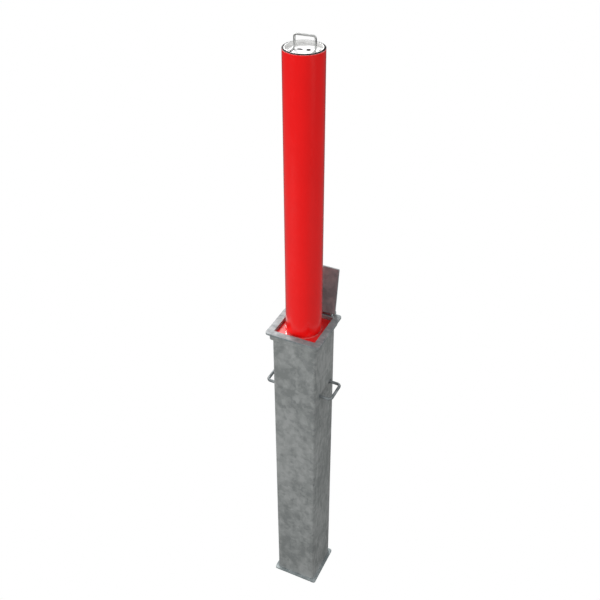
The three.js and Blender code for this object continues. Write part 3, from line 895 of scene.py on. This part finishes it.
class BOLLARD_OT_head(bpy.types.Operator):
    """Make the sealing ring and the dished cup in the top of the post"""
    bl_idname = "bollard.head"
    bl_label = "Head"

    def execute(self, context):
        low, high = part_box("rim_seal")
        rim_top = high.z
        outer = high.x
        inner = outer - sizes().tube_wall
        height = high.z - low.z
        # A thin bright stainless band sits under the black seal. It is painted highlight, standing for the light
        # caught on the tube's rim edge.
        highlight_height = 0.4 * MM
        slope = [(inner, highlight_height), (outer - 0.1 * MM, highlight_height), (outer, highlight_height + 0.1 * MM),
                 (outer - 0.2 * MM, highlight_height + 0.3 * MM), (inner + 1.6 * MM, height),
                 (inner, height)]
        bm = bmesh.new()
        turned(bm, slope, TUBE_FACETS, (0, 0, low.z))
        stand_in_for("rim_ring", bm, "rim_seal")
        # Painted highlight: the bright stainless band at the foot of the seal.
        bm = bmesh.new()
        turned(bm, chamfered_ring(inner, outer, highlight_height, 0.15 * MM), TUBE_FACETS, (0, 0, low.z))
        finish_piece("rim_highlight_band", bm, "head_cup")

        low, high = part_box("head_cup")
        radius = high.x
        sheet, lip_wide = 2 * MM, 1.5 * MM
        slot_wide, slot_long, slot_end, slot_y = 8 * MM, 30 * MM, 3.9 * MM, -11 * MM
        bm = bmesh.new()
        edges = circle_outline(bm, radius, CUP_FACETS)
        lip = circle_outline(bm, radius - lip_wide, CUP_FACETS)
        annulus = list(bmesh.ops.bridge_loops(bm, edges=edges + lip)["faces"])
        holes = []
        for side in (-1, 1):
            slot = rounded_outline(bm, slot_wide, slot_long, slot_end, steps=6)
            bmesh.ops.translate(bm, verts=verts_of(slot),
                                vec=(side * HANDLE_HALF_WIDTH, slot_y, 0))
            holes += slot
        for hole_radius, facets, x, y in ((8.3, 40, -12.5, 4), (4.8, 32, 10, 6.5)):
            holes += circle_outline(bm, hole_radius * MM, facets, x * MM, y * MM)
        bmesh.ops.rotate(bm, verts=verts_of(holes), cent=(0, 0, 0),
                         matrix=Matrix.Rotation(head_turn(), 3, "Z"))
        for index in range(1, 5):
            place = centre_of(f"cup_screw_{index}")
            holes += circle_outline(bm, 2.3 * MM, 20, place.x, place.y)
        floor = fill_outlines(bm, lip + holes)
        top = raise_faces(bm, annulus + floor, sheet)
        rim = [f for f in top if f.calc_center_median().xy.length > radius - lip_wide]
        raised = bmesh.ops.extrude_face_region(bm, geom=rim)
        verts = [g for g in raised["geom"] if isinstance(g, bmesh.types.BMVert)]
        bmesh.ops.translate(bm, verts=verts, vec=(0, 0, rim_top - low.z - sheet))
        bmesh.ops.delete(bm, geom=rim, context="FACES_ONLY")
        soften(bm, 0.4 * MM)
        bmesh.ops.translate(bm, verts=bm.verts, vec=(0, 0, low.z))
        stand_in_for("cup_pressing", bm, "head_cup")
        return {"FINISHED"}


class BOLLARD_OT_cup_screws(bpy.types.Operator):
    """Make the button-head socket screws that hold the cup"""
    bl_idname = "bollard.cup_screws"
    bl_label = "Cup screws"

    def execute(self, context):
        head, shank_radius, socket_deep = 2.2 * MM, 2 * MM, 1.4 * MM
        for index in range(1, 5):
            node = f"cup_screw_{index}"
            low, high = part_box(node)
            radius = (high.x - low.x) / 2
            top = high.z - low.z
            shank = top - head
            profile = [(0, 0), (shank_radius, 0), (shank_radius, shank), (radius, shank),
                       (radius, shank + 0.5 * MM), (radius * 0.93, shank + 1.3 * MM),
                       (radius * 0.7, shank + 2 * MM), (radius * 0.42, top),
                       (radius * 0.36, top - socket_deep), (0, top - socket_deep - 0.1 * MM)]
            bm = bmesh.new()
            turned(bm, profile, 24, (*centre_of(node).xy, low.z))
            stand_in_for(f"button_screw_{index}", bm, node)
        return {"FINISHED"}


class BOLLARD_OT_handle(bpy.types.Operator):
    """Bend the pull handle from round rod"""
    bl_idname = "bollard.handle"
    bl_label = "Pull handle"

    def execute(self, context):
        half, rod_radius, pin_end = HANDLE_HALF_WIDTH, 3 * MM, 17.7 * MM
        foot_y, foot_z = 4 * MM, 8 * MM
        crank_y, crank_z, grip_z = 20 * MM, 15.4 * MM, 46 * MM
        foot_bends, grip_bends = [4 * MM] * 3, [sizes().rod_bend] * 2
        left = [(-pin_end, 0, 0), (-half, 0, 0), (-half, foot_y, foot_z),
                (-half, crank_y, crank_z), (-half, crank_y, grip_z)]
        right = [(-x, y, z) for x, y, z in reversed(left)]
        bm = bmesh.new()
        rod_along(bm, left + right, rod_radius, foot_bends + grip_bends + foot_bends, facets=24)
        bmesh.ops.transform(bm, matrix=hinge_matrix("handle_hinge"), verts=bm.verts)
        stand_in_for("handle_bow", bm, "pull_handle", drawn_stainless())
        return {"FINISHED"}


class BOLLARD_OT_lock(bpy.types.Operator):
    """Make the lock plug with its key slot, and the push-in cap next to it"""
    bl_idname = "bollard.lock"
    bl_label = "Lock"

    def execute(self, context):
        low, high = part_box("lock_plug")
        centre = centre_of("lock_plug")
        slot_long, slot_wide, slot_corner, slot_deep = 12 * MM, 3.8 * MM, 1.2 * MM, 6 * MM
        bm = bmesh.new()
        rim = circle_outline(bm, (high.x - low.x) / 2, 48)
        slot = rounded_outline(bm, slot_long, slot_wide, slot_corner, steps=4)
        fill_outlines(bm, rim + slot)
        drop_and_close(bm, rim, high.z - low.z)
        drop_and_close(bm, slot, slot_deep)
        soften(bm, 0.4 * MM)
        bmesh.ops.translate(bm, verts=bm.verts, vec=(centre.x, centre.y, high.z))
        stand_in_for("key_plug", bm, "lock_plug")

        low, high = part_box("hole_cap")
        radius = (high.x - low.x) / 2
        height = high.z - low.z
        stem = radius - 1 * MM
        head_foot = height - 1.5 * MM
        profile = [(0, 0), (stem - 0.3 * MM, 0), (stem, 0.5 * MM), (stem, head_foot),
                   (radius, head_foot), (radius, height - 0.9 * MM),
                   (radius - 0.8 * MM, height - 0.2 * MM), (radius - 2 * MM, height), (0, height)]
        bm = bmesh.new()
        turned(bm, profile, 40, (*centre_of("hole_cap").xy, low.z))
        stand_in_for("push_cap", bm, "hole_cap")
        return {"FINISHED"}


class BOLLARD_OT_hidden_works(bpy.types.Operator):
    """Give the pieces inside the post their finishes"""
    bl_idname = "bollard.hidden_works"
    bl_label = "Works inside the post"

    def execute(self, context):
        for node, piece in frame["nodes"].items():
            if piece.hide_render:
                continue
            piece.data.materials.clear()
            piece.data.materials.append(FINISH_OF_SLOT[slot_of(node)]())
        return {"FINISHED"}


# ---------------------------------------------------------------- stage
def add_light(name, place, target, size, power, mirrored=True):
    """A soft light that faces the target. One that isn't mirrored leaves no reflection."""
    data = bpy.data.lights.new(name, "AREA")
    data.shape = "RECTANGLE"
    data.size, data.size_y = size
    data.energy = power
    light = bpy.data.objects.new(name, data)
    light.visible_glossy = mirrored
    light.location = place
    light.rotation_euler = (Vector(target) - Vector(place)).to_track_quat("-Z", "Y").to_euler()
    bpy.context.scene.collection.objects.link(light)


def add_camera():
    """The camera stands to the front right and looks down at the post."""
    azimuth, elevation, distance = math.radians(25.24), math.radians(35.93), 2.5644
    target = Vector((0, 0, 1.2744))
    level = math.cos(elevation)
    back = Vector((math.sin(azimuth) * level, -math.cos(azimuth) * level, math.sin(elevation)))
    data = bpy.data.cameras.new("camera")
    data.sensor_width = 36.0
    data.lens = 49.85
    data.shift_x = -0.0065
    camera = bpy.data.objects.new("camera", data)
    camera.location = target + back * distance
    camera.rotation_euler = back.to_track_quat("Z", "Y").to_euler()
    bpy.context.scene.collection.objects.link(camera)
    bpy.context.scene.camera = camera


def floor_finish():
    """White sweep, evenly lit from below, over which the object gets little light back."""
    material = bpy.data.materials.new("lit_studio_floor")
    material.use_nodes = True
    tree = material.node_tree
    tree.nodes.clear()
    glow = add_node(tree, "ShaderNodeEmission",
                    {"Color": tuple(colours().floor), "Strength": 1.0})
    cloth = add_node(tree, "ShaderNodeBsdfDiffuse", {"Color": tuple(colours().floor_return)})
    seen = add_node(tree, "ShaderNodeLightPath").outputs["Is Camera Ray"]
    both = add_node(tree, "ShaderNodeMixShader",
                    {0: seen, 1: cloth.outputs["BSDF"], 2: glow.outputs["Emission"]})
    add_node(tree, "ShaderNodeOutputMaterial", {"Surface": both.outputs["Shader"]})
    return material


def light_the_room():
    """Soft white light from all round, as in a studio tent, in front of a white wall."""
    world = bpy.data.worlds.new("studio")
    bpy.context.scene.world = world
    world.use_nodes = True
    tree = world.node_tree
    tree.nodes.clear()
    paths = add_node(tree, "ShaderNodeLightPath")
    seen = add_node(tree, "ShaderNodeMath",
                    {0: paths.outputs["Is Camera Ray"], 1: paths.outputs["Is Glossy Ray"]},
                    operation="MAXIMUM")
    strength = add_node(tree, "ShaderNodeMapRange",
                        {"Value": seen.outputs[0], "To Min": 0.66, "To Max": 1.0})
    background = add_node(tree, "ShaderNodeBackground",
                          {"Color": (1.0, 1.0, 1.0, 1.0), "Strength": strength.outputs["Result"]})
    add_node(tree, "ShaderNodeOutputWorld", {"Surface": background.outputs["Background"]})


class BOLLARD_OT_stage(bpy.types.Operator):
    """Set up the floor, the lights and the camera"""
    bl_idname = "bollard.stage"
    bl_label = "Stage"

    def execute(self, context):
        floor_half, floor_gap = 30.0, 0.5 * MM
        bm = bmesh.new()
        bmesh.ops.create_grid(bm, x_segments=1, y_segments=1, size=floor_half)
        bmesh.ops.translate(bm, verts=bm.verts, vec=(0, 0, CAD_BOX[0][2] - floor_gap))
        mesh = bpy.data.meshes.new("studio_floor")
        bm.to_mesh(mesh)
        bm.free()
        mesh.materials.append(floor_finish())
        floor = bpy.data.objects.new("studio_floor", mesh)
        context.scene.collection.objects.link(floor)
        light_the_room()
        add_light("key", (-2.2, -2.8, 2.0), (0, 0, 1.1), (1.6, 2.6), 97, mirrored=False)
        add_light("side", (3.0, -0.9, 1.8), (0, 0, 1.1), (1.4, 2.4), 36, mirrored=False)
        add_light("back", (-2.3, 2.3, 3.5), (0, 0, 1.3), (1.3, 1.3), 120)
        add_camera()
        context.scene.view_settings.view_transform = "Standard"
        return {"FINISHED"}


# ---------------------------------------------------------------- add-on
class BOLLARD_PT_panel(bpy.types.Panel):
    """Lists the operators that build the bollard"""
    bl_idname = "BOLLARD_PT_panel"
    bl_label = "Retractable Bollard"
    bl_space_type = "VIEW_3D"
    bl_region_type = "UI"
    bl_category = "Bollard"

    def draw(self, context):
        settings = context.scene.bollard
        for group in (settings.sizes, settings.colours):
            box = self.layout.box()
            for name in group.__annotations__:
                box.prop(group, name)
        for operator in OPERATORS:
            self.layout.operator(operator.bl_idname)


OPERATORS = (
    BOLLARD_OT_stage,
    BOLLARD_OT_casing,
    BOLLARD_OT_mouth,
    BOLLARD_OT_anchor_loops,
    BOLLARD_OT_inside,
    BOLLARD_OT_hinge,
    BOLLARD_OT_lid,
    BOLLARD_OT_post,
    BOLLARD_OT_guide_plates,
    BOLLARD_OT_head,
    BOLLARD_OT_cup_screws,
    BOLLARD_OT_handle,
    BOLLARD_OT_lock,
    BOLLARD_OT_hidden_works,
)
CLASSES = (BollardSizes, BollardColours, BollardSettings, *OPERATORS, BOLLARD_PT_panel)


def register():
    for cls in CLASSES:
        bpy.utils.register_class(cls)
    bpy.types.Scene.bollard = PointerProperty(type=BollardSettings)


def unregister():
    del bpy.types.Scene.bollard
    for cls in reversed(CLASSES):
        bpy.utils.unregister_class(cls)


def main():
    """Builds every piece and the stage."""
    register()
    for operator in OPERATORS:
        group, name = operator.bl_idname.split(".")
        getattr(getattr(bpy.ops, group), name)()


if __name__ == "__main__":
    main()
